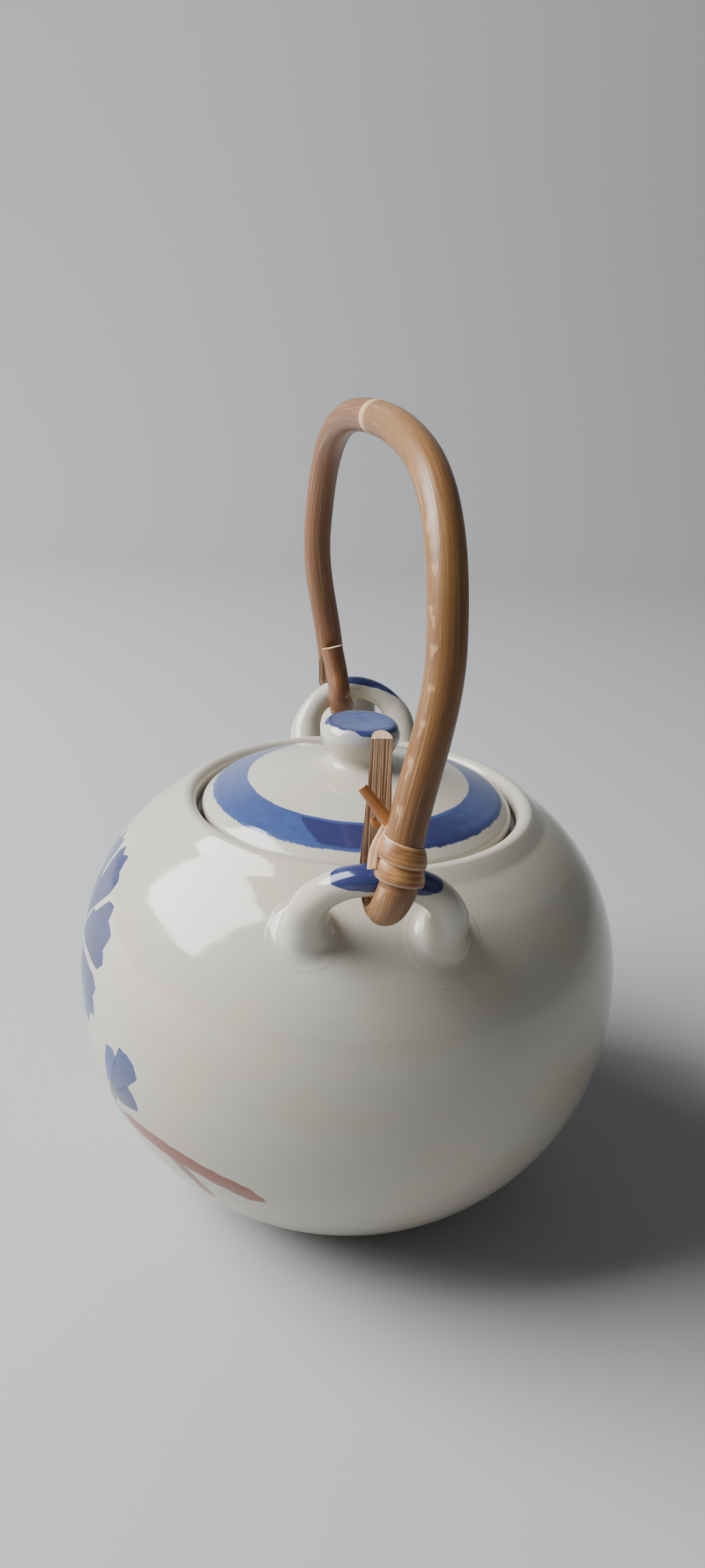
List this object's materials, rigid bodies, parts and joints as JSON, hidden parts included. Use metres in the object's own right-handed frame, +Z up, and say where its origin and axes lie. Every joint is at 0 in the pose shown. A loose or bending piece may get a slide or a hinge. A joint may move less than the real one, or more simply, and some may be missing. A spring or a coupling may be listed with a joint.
{
  "type": "glazed teapot with cane bail handle",
  "caption": "Round glazed teapot with a short spout, a lift-off domed lid and an arched cane handle hooked through clay lugs on the shoulder.",
  "frame": {"origin": "centre of the flat foot, on the surface the pot stands on", "axes": "+Z up through the lid, +X towards the spout, the two lugs lie along X"},
  "size_m": [0.1766, 0.15, 0.2191],
  "materials": {
    "cream_glaze": "glossy cream glaze with blue and brown brushwork",
    "rattan_cane": "natural rattan bark, satin",
    "rattan_strip": "split rattan strip, satin"
  },
  "bodies": {
    "pot": {"pot_body": "cream_glaze", "spout": "cream_glaze", "lug_front": "cream_glaze", "lug_back": "cream_glaze"},
    "lid": {"lid": "cream_glaze", "lid_knob": "cream_glaze"},
    "handle": {"handle_cane": "rattan_cane", "binding_back": "rattan_strip"}
  },
  "joints": [
    {"name": "lid_lift", "type": "slide", "parent": "pot", "child": "lid", "axis": [0, 0, 1], "range_m": [0, 0.06]},
    {"name": "handle_swing", "type": "hinge", "parent": "pot", "child": "handle", "pos_m": [0, -0.0019, 0.11139], "axis": [0.9999, 0.0147, 0], "range_deg": [-10, 25]}
  ]
}
